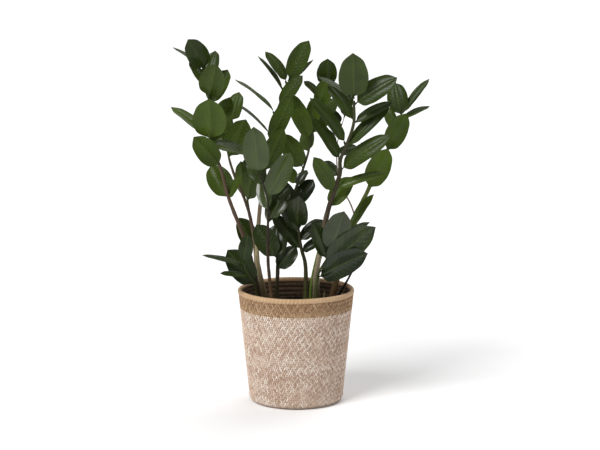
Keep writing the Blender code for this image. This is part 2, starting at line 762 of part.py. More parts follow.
# ---------------------------------------------------------------- assembly
def make_fronds(collection, taken):
    """Every stalk first, then every leafy top, so that leaflets keep clear of stalks."""
    stalk_surface = stalk_material()
    leaf_surface = leaf_material()
    stalks = []
    tops = []
    for name, plan in FRONDS.items():
        path = frond_path(plan)
        radii = taper(path, plan["thick"], RACHIS_TAPER)
        lowest = min(row[0] for row in plan["leaflets"])
        leafy = SOIL_TOP + lowest * FROND_HEIGHT - BARE_BELOW_LEAFLET
        stalk, midrib = split_frond(path, radii, leafy)
        stalks.append(make_stalk("stem_" + name, *stalk, collection, stalk_surface))
        rachis = tube("leaves_" + name, *midrib, collection, leaf_surface, roundness=1)
        tops.append((name, plan, path, rachis))
    others = [*taken, *(solid_tree(item) for item in stalks)]
    midribs = {top[0]: solid_tree(top[3]) for top in tops}
    for name, plan, path, rachis in tops:
        del midribs[name]
        others += make_leaves(plan, path, rachis, [*others, *midribs.values()], leaf_surface)


def make_shoots(collection):
    surface = shoot_material()
    shoots = []
    for name, plan in SHOOTS.items():
        path = frond_path(plan)
        radii = taper(path, plan["thick"], 0.2)
        shoots.append(make_stalk(name, path, radii, collection, surface))
    return shoots


def bury(soil, rhizomes, stalks):
    """Open the soil around every rhizome and stalk, with a clearance."""
    for name in rhizomes:
        hollow = add_object("hollow", rhizome_shape(name, CLEARANCE), soil.users_collection[0])
        apply_boolean(soil, hollow, "DIFFERENCE")
        discard(hollow)
    for plan in stalks:
        path = frond_path(plan)
        radii = [(radius + CLEARANCE) / cos(pi / 8) for radius in taper(path, plan["thick"], 1.0)]
        path[0].z -= CLEARANCE
        socket = tube("socket", path, radii, soil.users_collection[0], None)
        apply_boolean(soil, socket, "DIFFERENCE")
        discard(socket)


def main():
    clear_scene()
    plant = new_collection("potted_zz_plant")
    cutters = new_collection("cutters")
    body = make_basket_body(plant)
    band = make_basket_band(plant)
    pot = make_nursery_pot(plant, cutters)
    soil = make_soil(plant)
    rhizome_surface = rhizome_material()
    for name in RHIZOME_PLACES:
        add_object(name, rhizome_shape(name, 0.0), plant, rhizome_surface)
    shoots = make_shoots(plant)
    taken = [solid_tree(item) for item in (body, band, pot, soil, *shoots)]
    make_fronds(plant, taken)
    bury(soil, RHIZOME_PLACES, [*FRONDS.values(), *SHOOTS.values()])
    bpy.context.view_layer.update()


main()
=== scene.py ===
"""Looks of the potted zz plant: leaflets, stalks, braided basket, soil, light and camera."""

import math
import random

import bmesh
import bpy
import numpy as np
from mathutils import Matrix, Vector


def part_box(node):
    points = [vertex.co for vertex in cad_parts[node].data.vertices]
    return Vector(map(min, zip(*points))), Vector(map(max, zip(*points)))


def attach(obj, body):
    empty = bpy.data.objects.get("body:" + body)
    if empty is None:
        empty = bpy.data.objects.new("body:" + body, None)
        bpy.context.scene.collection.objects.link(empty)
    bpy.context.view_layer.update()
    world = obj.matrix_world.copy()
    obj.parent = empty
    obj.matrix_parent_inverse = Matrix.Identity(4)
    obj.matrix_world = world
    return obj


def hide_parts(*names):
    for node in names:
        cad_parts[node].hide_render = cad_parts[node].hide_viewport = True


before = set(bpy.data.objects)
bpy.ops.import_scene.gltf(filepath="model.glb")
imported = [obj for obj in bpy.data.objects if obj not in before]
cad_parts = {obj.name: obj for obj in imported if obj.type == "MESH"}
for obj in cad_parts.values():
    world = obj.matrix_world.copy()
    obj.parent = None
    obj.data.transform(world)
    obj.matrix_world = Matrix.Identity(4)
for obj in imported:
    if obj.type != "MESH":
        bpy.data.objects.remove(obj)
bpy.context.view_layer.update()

# ------------------------------------------------------------------ camera
CAMERA_AT = (0.0068, -3.0, 0.80)
CAMERA_AIM = (0.0068, 0.0, 0.302)
CAMERA_LENS = 107.7          # mm, on a 36 mm sensor

camera = bpy.data.objects.new("camera", bpy.data.cameras.new("camera"))
bpy.context.scene.collection.objects.link(camera)
camera.data.lens = CAMERA_LENS
camera.location = CAMERA_AT
camera.rotation_euler = (Vector(CAMERA_AIM) - Vector(CAMERA_AT)).to_track_quat("-Z", "Y").to_euler()
bpy.context.scene.camera = camera
bpy.context.scene.view_settings.view_transform = "Standard"

# ------------------------------------------------------------------ sizes
LEAF_STATIONS = (1.0, 0.88, 0.72, 0.52, 0.32, 0.16, 0.06)   # CAD rings: 1 is the tip, 0 the base
BLUNTEST_TIP = math.radians(262)   # the corner angles that meet at a leaflet's tip
LEAF_ALONG = 40              # points along a leaflet, and steps across it
LEAF_ACROSS = 18
LEAF_THICK = 0.0007
PETIOLE = 0.0011             # half width of a leaflet at its base
FIRST_STATION = 0.08         # a lowest ring above this share of the length gets a neck below it
NECK_SHARE = 0.35            # how far up from the base to that ring the neck sits
STALK_SIDES = 18
STALK_STEP = 0.0025
ROW_PITCH = 0.0079
ROW_INSET = 0.0024           # how far a row's middle lies inside the wall's outer face
BASKET_EDGE = 0.009          # radius of the rounded bottom edge
RIM_ROW = 0.0088             # height that the rolled rim takes
BAND_ROWS = 3
WHOLE_LINE = 10.0            # metres, longer than the basket's whole profile
STRAND_WIDTH = 0.0012        # half the width of a jute strand
STRAND_DEPTH = 0.0010        # half its thickness
PLAIT_LENGTH = 0.0118        # one full swing of a strand from side to side and back
PLAIT_SWING = 0.0044         # how far a strand swings to each side of its row's middle
PLAIT_TUCK = 0.0016          # how far a strand dives where it turns back at the row's edge
PLAIT_DEPTH = 0.0006         # how far a strand rises and falls as it crosses the others
BACKING_INSET = 0.0018       # from the rows' middle to the middle of the backing
BACKING_HALF = 0.0013        # half the backing's thickness
LINING_SWELL = 0.0008        # height of the ridges on the inner face
STRAND_TONES = (0.22, -0.26, 0.04)   # how much paler or darker each strand of a row is
RIM_TURNS = 96               # turns of a rim strand round the others on its way round the basket
RIM_STRANDS = 3
RIM_INSET = 0.0042           # how far the rim's middle lies inside the wall's outer face
RIM_HALF_WIDTH = 0.0024
RIM_HALF_DEPTH = 0.0019
POT_WALL = 0.0012
POT_LIP = 0.0035             # how far the lip stands out
POT_LIP_DEPTH = 0.008
CRUMBS = 2700
CRUMBS_ON_SOIL = 900         # the rest lie in a ring from the soil's edge to the pot's lip

WORLD_LIGHT = 0.31
WORLD_SEEN = 1.05             # what the camera sees behind the plant: plain white
LAMPS = (                     # name, where it shines from, its spread in degrees, its power
    ("key", (-1.5, -1.7, 2.2), 30, 2.65),
    ("top", (0.9, 1.5, 2.6), 50, 1.25),
    ("side", (2.4, -1.2, 1.2), 40, 0.18),
)

# how bright each frond's leaflets are at its bottom, middle and top, from 0 to 1; partly the leaves' own
# green, partly painted light and shade, brighter for lit leaflets and darker for shaded ones
LEAF_TONES_AND_PAINTED_LIGHT = {
    "far_left": (0.55, 0.80, 0.30), "left_middle": (0.50, 0.75, 0.60), "left_back": (0.40, 0.50, 0.50),
    "tall_left": (0.50, 0.40, 0.30), "front_left": (0.35, 0.35, 0.40), "centre_back": (0.80, 0.90, 0.40),
    "main_right": (0.75, 0.30, 0.35), "behind_right": (0.20, 0.20, 0.20), "far_right": (0.95, 0.80, 0.25),
    "low_right": (0.05, 0.10, 0.15), "centre_dark": (0.10, 0.10, 0.15), "small_centre": (0.15, 0.15, 0.15),
    "low_left": (0.20, 0.20, 0.20),
}

# how strongly each frond's leaflets shine; the rest take PLAIN_SHINE
LEAF_SHINE = {"low_right": 0.75, "front_left": 0.75, "centre_dark": 0.45, "low_left": 0.30,
              "small_centre": 0.30, "main_right": 0.25}
PLAIN_SHINE = 0.14

# ------------------------------------------------------------------ mesh helpers
def make_piece(name, vertices, faces, materials, stands_for=(), smooth=True):
    """A mesh piece that rides on the plant's only body and stands for CAD nodes."""
    mesh = bpy.data.meshes.new(name)
    mesh.from_pydata([tuple(v) for v in vertices], [], faces)
    mesh.update()
    for surface in materials:
        mesh.materials.append(surface)
    if smooth:
        mesh.shade_smooth()
    piece = bpy.data.objects.new(name, mesh)
    bpy.context.scene.collection.objects.link(piece)
    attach(piece, "root")
    if stands_for:
        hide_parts(*stands_for)
    return piece


def point_attribute(piece, name, values):
    """A number at each point, read by a material."""
    attribute = piece.data.attributes.new(name, "FLOAT", "POINT")
    attribute.data.foreach_set("value", np.asarray(values, np.float32))


def color_attribute(piece, name, values):
    """A colour at each point, read by a material."""
    attribute = piece.data.attributes.new(name, "FLOAT_COLOR", "POINT")
    flat = np.ones((len(values), 4), np.float32)
    flat[:, :3] = values
    attribute.data.foreach_set("color", flat.ravel())


def welded(node):
    """Points and triangles of a CAD node, with its split vertices joined."""
    shape = bmesh.new()
    shape.from_mesh(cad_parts[node].data)
    bmesh.ops.remove_doubles(shape, verts=shape.verts, dist=0.000002)
    bmesh.ops.triangulate(shape, faces=shape.faces)
    points = np.array([v.co for v in shape.verts])
    faces = np.array([[v.index for v in f.verts] for f in shape.faces])
    shape.free()
    return points, faces


def spline(knots, values, at):
    """A smooth cubic curve through values at uneven knots, read at each of at."""
    knots = np.asarray(knots, float)
    values = np.asarray(values, float)
    slopes = np.gradient(values, knots, axis=0)
    at = np.clip(at, knots[0], knots[-1])
    i = np.clip(np.searchsorted(knots, at, side="right") - 1, 0, len(knots) - 2)
    width = (knots[i + 1] - knots[i])
    t = ((at - knots[i]) / width)[:, None]
    width = width[:, None]
    return ((2 * t ** 3 - 3 * t ** 2 + 1) * values[i] + (t ** 3 - 2 * t ** 2 + t) * width * slopes[i]
            + (-2 * t ** 3 + 3 * t ** 2) * values[i + 1] + (t ** 3 - t ** 2) * width * slopes[i + 1])


def unit(v):
    v = np.asarray(v, float)
    return v / np.maximum(np.linalg.norm(v, axis=-1, keepdims=True), 1e-9)


# ------------------------------------------------------------------ reading the CAD
def leaflet_rings(node):
    """For each leaflet of a leafy node: its tip, and rings (left, top, right, bottom)."""
    points, faces = welded(node)
    corner = points[faces]
    angles = np.zeros(len(points))
    neighbours = [set() for _ in points]
    for k in range(3):
        a = corner[:, (k + 1) % 3] - corner[:, k]
        b = corner[:, (k + 2) % 3] - corner[:, k]
        turn = np.arccos(np.clip((unit(a) * unit(b)).sum(1), -1, 1))
        np.add.at(angles, faces[:, k], turn)
        for i, j in zip(faces[:, k], faces[:, (k + 1) % 3]):
            neighbours[i].add(j)
            neighbours[j].add(i)
    leaflets = []
    for tip in range(len(points)):
        if len(neighbours[tip]) != 4 or angles[tip] > BLUNTEST_TIP:
            continue
        seen = {tip}
        ring = set(neighbours[tip])
        rings = []
        while len(ring) == 4 and len(rings) < len(LEAF_STATIONS) - 1:
            rings.append(points[sorted(ring)])
            seen |= ring
            ring = {j for i in ring for j in neighbours[i]} - seen
        if len(rings) >= 3:
            leaflets.append((points[tip], [order_ring(r, points[tip]) for r in rings]))
    return leaflets


def order_ring(ring, tip):
    """A ring's corners as (left, top, right, bottom), seen from the base to the tip."""
    pairs = [(np.linalg.norm(ring[i] - ring[j]), i, j) for i in range(4) for j in range(i)]
    _, i, j = max(pairs)
    middle = (ring[i] + ring[j]) / 2
    others = sorted((k for k in range(4) if k not in (i, j)),
                    key=lambda k: np.linalg.norm(ring[k] - middle))
    top, bottom = ring[others[0]], ring[others[1]]
    left, right = ring[i], ring[j]
    face = top - bottom
    along = tip - middle
    if np.dot(np.cross(face, along), right - left) < 0:
        left, right = right, left
    return np.array([left, top, right, bottom])


def leaflet_curves(tip, rings):
    """Stations from base to tip, with the left edge, midrib and right edge at each."""
    stations = list(LEAF_STATIONS[1:len(rings) + 1])
    tops = [r[1] for r in rings]
    share = stations[-1] / (stations[-2] - stations[-1])
    base = tops[-1] - (tops[-2] - tops[-1]) * share
    across = unit(rings[-1][2] - rings[-1][0])
    edges = [(r[0], r[1], r[2]) for r in rings]
    if stations[-1] > FIRST_STATION:
        neck = lerp(base, tops[-1], NECK_SHARE)
        edges.append((neck - across * PETIOLE * 1.5, neck, neck + across * PETIOLE * 1.5))
        stations.append(stations[-1] * NECK_SHARE)
    edges.append((base - across * PETIOLE, base, base + across * PETIOLE))
    stations.append(0.0)
    edges.insert(0, (tip, tip, tip))
    stations.insert(0, 1.0)
    order = np.argsort(stations)
    curves = np.array(edges)[order]
    return np.array(stations)[order], curves[:, 0], curves[:, 1], curves[:, 2], base


def lerp(a, b, t):
    return a + (b - a) * t


def tube_sections(node, low, high, step):
    """Centres and radii of a stalk node at heights between low and high."""
    points, faces = welded(node)
    edges = np.unique(np.sort(np.concatenate([faces[:, [0, 1]], faces[:, [1, 2]], faces[:, [2, 0]]]),
                              axis=1), axis=0)
    a, b = points[edges[:, 0]], points[edges[:, 1]]
    centres = []
    radii = []
    for z in np.arange(low, high, step):
        crossing = (a[:, 2] - z) * (b[:, 2] - z) < 0
        if crossing.sum() < 6:
            continue
        p, q = a[crossing], b[crossing]
        cut = p + (q - p) * ((z - p[:, 2]) / (q[:, 2] - p[:, 2]))[:, None]
        middle = (cut.min(0) + cut.max(0)) / 2
        spans = [np.ptp(cut @ np.array([math.cos(t), math.sin(t), 0]))
                 for t in np.linspace(0, math.pi, 8, endpoint=False)]
        centres.append(middle)
        radii.append(min(spans) / 2)
    return np.array(centres), np.array(radii)


# ------------------------------------------------------------------ materials
def new_material(name):
    surface = bpy.data.materials.new(name)
    surface.use_nodes = True
    return surface, surface.node_tree, surface.node_tree.nodes["Principled BSDF"]


def add_node(tree, kind, **values):
    item = tree.nodes.new(kind)
    for key, value in values.items():
        if key in item.inputs:
            item.inputs[key].default_value = value
        else:
            setattr(item, key, value)
    return item


def attribute_of(tree, name):
    return add_node(tree, "ShaderNodeAttribute", attribute_name=name)


def ramp(tree, source, stops):
    """A colour ramp: stops are (place, (r, g, b))."""
    item = tree.nodes.new("ShaderNodeValToRGB")
    elements = item.color_ramp.elements
    while len(elements) < len(stops):
        elements.new(0.5)
    for element, (place, color) in zip(elements, stops):
        element.position = place
        element.color = (*color, 1.0)
    tree.links.new(source, item.inputs["Fac"])
    return item.outputs["Color"]


def mix(tree, a, b, factor, blend="MIX"):
    item = add_node(tree, "ShaderNodeMix", data_type="RGBA", blend_type=blend)
    for socket, value in ((item.inputs[6], a), (item.inputs[7], b), (item.inputs[0], factor)):
        if hasattr(value, "links"):
            tree.links.new(value, socket)
        else:
            socket.default_value = value if isinstance(value, float) else (*value, 1.0)
    return item.outputs[2]


def maths(tree, operation, a, b=0.0):
    item = add_node(tree, "ShaderNodeMath", operation=operation)
    for socket, value in zip(item.inputs, (a, b)):
        if hasattr(value, "links"):
            tree.links.new(value, socket)
        else:
            socket.default_value = value
    return item.outputs[0]


def combine(tree, x, y, z):
    item = tree.nodes.new("ShaderNodeCombineXYZ")
    for socket, value in zip(item.inputs, (x, y, z)):
        if hasattr(value, "links"):
            tree.links.new(value, socket)
        else:
            socket.default_value = value
    return item.outputs[0]


def noise(tree, scale, detail=3.0, vector=None, roughness=0.5):
    item = add_node(tree, "ShaderNodeTexNoise", Scale=scale, Detail=detail, Roughness=roughness)
    if vector is None:
        vector = add_node(tree, "ShaderNodeTexCoord").outputs["Object"]
    tree.links.new(vector, item.inputs["Vector"])
    return item.outputs["Fac"]


def bump(tree, shader, height, strength, distance):
    item = add_node(tree, "ShaderNodeBump", Strength=strength, Distance=distance)
    tree.links.new(height, item.inputs["Height"])
    tree.links.new(item.outputs["Normal"], shader.inputs["Normal"])


def spread(tree, value, low, high):
    """Map a 0 to 1 value onto low to high."""
    item = add_node(tree, "ShaderNodeMapRange")
    item.inputs["To Min"].default_value = low
    item.inputs["To Max"].default_value = high
    tree.links.new(value, item.inputs["Value"])
    return item.outputs["Result"]


def leaf_surface(name, dark, bright, rib, rough, gloss):
    """Waxy leaf: tone by leaflet (partly its own green, partly painted light and shade), soft patches, faint
    side veins, a paler midrib, a fine grain.
    """
    surface, tree, shader = new_material(name)
    tone = attribute_of(tree, "tone").outputs["Fac"]
    along = attribute_of(tree, "along").outputs["Fac"]
    across = attribute_of(tree, "across").outputs["Fac"]
    side = maths(tree, "ABSOLUTE", across)
    patch = noise(tree, 35.0, 4.0)
    level = maths(tree, "ADD", tone, spread(tree, patch, -0.22, 0.22))
    color = ramp(tree, level, [(0.0, dark), (1.0, bright)])
    blotch = noise(tree, 14.0, 2.0)
    color = mix(tree, color, (0.005, 0.010, 0.003), spread(tree, blotch, -0.15, 0.45))
    slant = maths(tree, "SUBTRACT", maths(tree, "MULTIPLY", along, 11.0),
                  maths(tree, "MULTIPLY", side, 2.2))
    vein = maths(tree, "POWER", maths(tree, "ABSOLUTE", maths(tree, "SINE", maths(
        tree, "MULTIPLY", slant, math.pi))), 10.0)
    color = mix(tree, color, rib, maths(tree, "MULTIPLY", vein, 0.05))
    middle = maths(tree, "POWER", maths(tree, "SUBTRACT", 1.0, side), 26.0)
    color = mix(tree, color, rib, maths(tree, "MULTIPLY", middle, 0.28))
    tree.links.new(color, shader.inputs["Base Color"])
    tree.links.new(spread(tree, noise(tree, 60.0, 3.0), rough - 0.07, rough + 0.10),
                   shader.inputs["Roughness"])
    shader.inputs["Specular IOR Level"].default_value = gloss
    fine = noise(tree, 900.0, 2.0)
    swell = noise(tree, 75.0, 2.0)
    height = maths(tree, "ADD", maths(tree, "MULTIPLY", vein, 0.25), maths(tree, "MULTIPLY", fine, 0.08))
    height = maths(tree, "ADD", height, maths(tree, "MULTIPLY", swell, 0.9))
    bump(tree, shader, height, 0.80, 0.0020)
    tree.links.new(attribute_of(tree, "shine").outputs["Fac"], shader.inputs["Coat Weight"])
    shader.inputs["Coat Roughness"].default_value = 0.22
    return surface


def stalk_surface(name):
    """Fleshy stalk: its colour along the height, with darker flecks and fine streaks."""
    surface, tree, shader = new_material(name)
    tint = attribute_of(tree, "tint").outputs["Color"]
    flecks = noise(tree, 260.0, 4.0, roughness=0.7)
    streak_at = add_node(tree, "ShaderNodeMapping")
    streak_at.inputs["Scale"].default_value = (420.0, 420.0, 26.0)
    tree.links.new(add_node(tree, "ShaderNodeTexCoord").outputs["Object"], streak_at.inputs["Vector"])
    streaks = noise(tree, 1.0, 3.0, streak_at.outputs["Vector"])
    color = mix(tree, tint, (0.028, 0.018, 0.012), spread(tree, flecks, -0.25, 0.62))
    color = mix(tree, color, (0.16, 0.13, 0.07), spread(tree, streaks, -0.30, 0.22))
    shader.inputs["Specular IOR Level"].default_value = 0.08
    tree.links.new(color, shader.inputs["Base Color"])
    shader.inputs["Roughness"].default_value = 0.42
    height = maths(tree, "ADD", maths(tree, "MULTIPLY", streaks, 0.6), maths(tree, "MULTIPLY", flecks, 0.4))
    bump(tree, shader, height, 0.35, 0.0005)
    return surface


def jute_surface(name, dark, middle, pale, fibre_and_painted_shade):
    """Jute strand: tone by strand, with fibres running along it, and painted shade on its sides where it
    meets the next strands.
    """
    surface, tree, shader = new_material(name)
    tone = attribute_of(tree, "tone").outputs["Fac"]
    along = attribute_of(tree, "along").outputs["Fac"]
    across = attribute_of(tree, "across").outputs["Fac"]
    painted_crevice_shade = attribute_of(tree, "painted_crevice_shade").outputs["Fac"]
    fibre_at = combine(tree, maths(tree, "MULTIPLY", along, 220.0), maths(tree, "MULTIPLY", across, 7.0),
                       maths(tree, "MULTIPLY", tone, 40.0))
    fibre = noise(tree, 1.0, 4.0, fibre_at, 0.6)
    patch = noise(tree, 45.0, 3.0)
    level = maths(tree, "ADD", tone, spread(tree, patch, -0.15, 0.15))
    color = ramp(tree, level, [(0.0, dark), (0.5, middle), (1.0, pale)])
    color = mix(tree, color, fibre_and_painted_shade, spread(tree, fibre, -0.35, 0.50))
    # painted shade: each strand darker at its sides, towards the crevices between strands
    color = mix(tree, color, fibre_and_painted_shade, maths(tree, "MULTIPLY", maths(tree, "POWER", painted_crevice_shade, 3.0), 0.80))
    tree.links.new(color, shader.inputs["Base Color"])
    shader.inputs["Roughness"].default_value = 0.85
    shader.inputs["Specular IOR Level"].default_value = 0.25
    shader.inputs["Sheen Weight"].default_value = 0.15
    bump(tree, shader, fibre, 0.6, 0.0008)
    return surface


def core_surface():
    """The shaded jute between and behind the strands."""
    surface, tree, shader = new_material("jute_core")
    fibre = noise(tree, 600.0, 4.0)
    color = ramp(tree, fibre, [(0.25, (0.22, 0.145, 0.095)), (0.8, (0.46, 0.34, 0.26))])
    tree.links.new(color, shader.inputs["Base Color"])
    shader.inputs["Roughness"].default_value = 0.95
    bump(tree, shader, fibre, 0.5, 0.001)
    return surface


def lining_surface():
    """Inner face of the braid: jute darkened with painted shade, with short level fibres."""
    surface, tree, shader = new_material("inner_jute_painted_shade")
    stretched = add_node(tree, "ShaderNodeMapping")
    stretched.inputs["Scale"].default_value = (260.0, 260.0, 520.0)
    tree.links.new(add_node(tree, "ShaderNodeTexCoord").outputs["Object"], stretched.inputs["Vector"])
    fibre = noise(tree, 1.0, 4.0, stretched.outputs["Vector"], 0.65)
    # painted shade: the inner face coloured far darker than the same jute outside
    tree.links.new(ramp(tree, fibre, [(0.3, (0.045, 0.027, 0.015)), (0.75, (0.20, 0.13, 0.075))]),
                   shader.inputs["Base Color"])
    shader.inputs["Roughness"].default_value = 0.9
    bump(tree, shader, fibre, 0.8, 0.0012)
    return surface


def soil_surface():
    surface, tree, shader = new_material("potting_soil")
    grain = noise(tree, 420.0, 6.0, roughness=0.7)
    patch = noise(tree, 60.0, 3.0)
    color = ramp(tree, maths(tree, "MULTIPLY", grain, maths(tree, "ADD", patch, 0.5)),
                 [(0.2, (0.010, 0.006, 0.004)), (0.55, (0.050, 0.030, 0.016)), (0.9, (0.16, 0.10, 0.055))])
    tree.links.new(color, shader.inputs["Base Color"])
    shader.inputs["Roughness"].default_value = 0.95
    bump(tree, shader, grain, 0.8, 0.002)
    return surface


def plastic_surface():
    surface, tree, shader = new_material("black_pot_plastic")
    scuff = noise(tree, 240.0, 3.0)
    tree.links.new(ramp(tree, scuff, [(0.3, (0.014, 0.012, 0.010)), (0.8, (0.036, 0.030, 0.024))]),
                   shader.inputs["Base Color"])
    tree.links.new(spread(tree, scuff, 0.38, 0.6), shader.inputs["Roughness"])
    bump(tree, shader, scuff, 0.1, 0.0005)
    return surface


def rhizome_surface():
    surface, tree, shader = new_material("rhizome_skin")
    skin = noise(tree, 120.0, 5.0)
    tree.links.new(ramp(tree, skin, [(0.3, (0.16, 0.09, 0.04)), (0.75, (0.42, 0.27, 0.14))]),
                   shader.inputs["Base Color"])
    shader.inputs["Roughness"].default_value = 0.75
    bump(tree, shader, skin, 0.5, 0.001)
    return surface


# ------------------------------------------------------------------ leaflets
def leaf_sheet(tip, rings, seed):
    """Points of one leaflet: an upper and a lower sheet, a little apart even at the rim."""
    rng = random.Random(seed)
    stations, left, mid, right, base = leaflet_curves(tip, rings)
    u = 1 - (1 - np.linspace(0, 1, LEAF_ALONG)) ** 1.25
    l, m, r = (spline(stations, c, u) for c in (left, mid, right))
    v = np.sin(np.linspace(-math.pi / 2, math.pi / 2, LEAF_ACROSS + 1))
    along = unit(np.gradient(m, axis=0))
    side = unit(r - l)
    side[-1] = side[-2]
    normal = unit(np.cross(side, along))
    half = np.linalg.norm(r - l, axis=1) / 2
    wave_phase = rng.uniform(0, 6.28)
    wave_count = rng.uniform(1.2, 2.2)
    wave_size = rng.uniform(0.02, 0.07)
    skew = rng.uniform(-0.05, 0.05)
    top = np.zeros((LEAF_ALONG, LEAF_ACROSS + 1, 3))
    for j, across in enumerate(v):
        edge = r if across > 0 else l
        reach = abs(across)
        body = m + (edge - m) * reach
        puff = half * (0.10 * math.sin(math.pi * reach))
        groove = -0.0007 * math.exp(-(across / 0.07) ** 2) * np.minimum(1, half / 0.004)
        wave = half * wave_size * reach ** 2 * np.sin(2 * math.pi * wave_count * u + wave_phase
                                                      + (1.7 if across > 0 else 0))
        pucker = 0.00007 * np.cos(2 * math.pi * (u * 11 - reach * 2.2)) * 4 * reach * (1 - reach)
        pucker = pucker * np.minimum(1, half / 0.006)
        body = body + normal * (puff + groove + wave + pucker + half * skew * across)[:, None]
        top[:, j] = body
    thick = LEAF_THICK * (0.35 + 0.65 * (1 - np.abs(v) ** 2))[None, :, None]
    stem = np.maximum(0, 1 - u / 0.10)[:, None, None] * 0.0016 * (1 - np.abs(v) ** 2)[None, :, None]
    rib = 0.0006 * np.exp(-(v / 0.10) ** 2)[None, :, None] * (1 - u)[:, None, None]
    low = top - normal[:, None, :] * (thick + stem + rib)
    return top, low, u, v, base


def frond_leaves(name, number, surfaces):
    """All leaflets of a frond as one piece, and the place where each one starts."""
    vertices = []
    faces = []
    material_index = []
    attributes = {"tone": [], "along": [], "across": [], "shine": []}
    bases = []
    leaflets = leaflet_rings("leaves_" + name)
    lowest = min(tip[2] for tip, _ in leaflets)
    highest = max(tip[2] for tip, _ in leaflets)
    for k, (tip, rings) in enumerate(leaflets):
        seed = number * 100 + k
        rng = random.Random(seed + 7)
        top, low, u, v, base = leaf_sheet(tip, rings, seed)
        bases.append(base)
        rows, columns = top.shape[:2]
        start = len(vertices)
        vertices.extend(top.reshape(-1, 3))
        vertices.extend(low.reshape(-1, 3))
        share = (tip[2] - lowest) / (highest - lowest)
        # tone by frond and height: partly the leaflet's own green, partly painted light and shade
        tone = np.interp(share, (0.0, 0.5, 1.0), LEAF_TONES_AND_PAINTED_LIGHT[name]) + rng.uniform(-0.08, 0.08)
        shine = LEAF_SHINE.get(name, PLAIN_SHINE) * rng.uniform(0.5, 1.2)
        for _ in range(2):
            attributes["tone"].extend([tone] * (rows * columns))
            attributes["shine"].extend([shine] * (rows * columns))
            attributes["along"].extend(np.repeat(u, columns))
            attributes["across"].extend(np.tile(v, rows))
        second = start + rows * columns
        for i in range(rows - 1):
            for j in range(columns - 1):
                a = i * columns + j
                quad = (a, a + 1, a + 1 + columns, a + columns)
                faces.append(tuple(start + q for q in quad))
                material_index.append(0)
                faces.append(tuple(second + q for q in reversed(quad)))
                material_index.append(1)
            for a in (i * columns, i * columns + columns - 1):
                edge = (start + a, start + a + columns, second + a + columns, second + a)
                faces.append(edge if a == i * columns else edge[::-1])
                material_index.append(0)
        for j in range(columns - 1):
            a = (rows - 1) * columns + j
            faces.append((start + a, start + a + 1, second + a + 1, second + a))
            material_index.append(0)
            faces.append((second + j, second + j + 1, start + j + 1, start + j))
            material_index.append(0)
    piece = make_piece("leaflets_" + name, vertices, faces, surfaces, ["leaves_" + name])
    piece.data.polygons.foreach_set("material_index", material_index)
    for key, values in attributes.items():
        point_attribute(piece, key, values)
    return piece, np.array(bases)


# ------------------------------------------------------------------ stalks
STALK_COLORS = {          # at the soil, a quarter of the way up, half way, and at the tip
    "far_left": ((0.06, 0.04, 0.018), (0.09, 0.06, 0.035), (0.11, 0.07, 0.05), (0.05, 0.07, 0.02)),
    "left_middle": ((0.08, 0.05, 0.025), (0.16, 0.12, 0.07), (0.15, 0.10, 0.07), (0.06, 0.08, 0.025)),
    "left_back": ((0.07, 0.05, 0.02), (0.10, 0.09, 0.035), (0.09, 0.10, 0.03), (0.06, 0.09, 0.02)),
    "tall_left": ((0.14, 0.09, 0.04), (0.50, 0.42, 0.24), (0.26, 0.17, 0.12), (0.06, 0.08, 0.03)),
    "front_left": ((0.20, 0.12, 0.05), (0.09, 0.06, 0.035), (0.035, 0.022, 0.018), (0.03, 0.03, 0.015)),
    "centre_back": ((0.05, 0.04, 0.02), (0.16, 0.10, 0.07), (0.06, 0.045, 0.03), (0.07, 0.10, 0.03)),
    "main_right": ((0.05, 0.065, 0.015), (0.30, 0.25, 0.16), (0.05, 0.035, 0.025), (0.05, 0.06, 0.025)),
    "behind_right": ((0.03, 0.02, 0.015), (0.05, 0.04, 0.025), (0.16, 0.12, 0.08), (0.15, 0.11, 0.07)),
    "far_right": ((0.14, 0.05, 0.03), (0.13, 0.12, 0.05), (0.11, 0.14, 0.03), (0.07, 0.10, 0.025)),
    "low_right": ((0.20, 0.18, 0.09), (0.07, 0.08, 0.03), (0.05, 0.07, 0.02), (0.04, 0.06, 0.02)),
    "centre_dark": ((0.07, 0.085, 0.02), (0.05, 0.05, 0.02), (0.035, 0.035, 0.015), (0.03, 0.03, 0.012)),
    "small_centre": ((0.05, 0.035, 0.02), (0.05, 0.045, 0.02), (0.05, 0.05, 0.02), (0.04, 0.05, 0.02)),
    "low_left": ((0.16, 0.09, 0.04), (0.08, 0.07, 0.03), (0.05, 0.06, 0.02), (0.04, 0.06, 0.02)),
}
COLOR_SHARES = (0.0, 0.25, 0.5, 1.0)


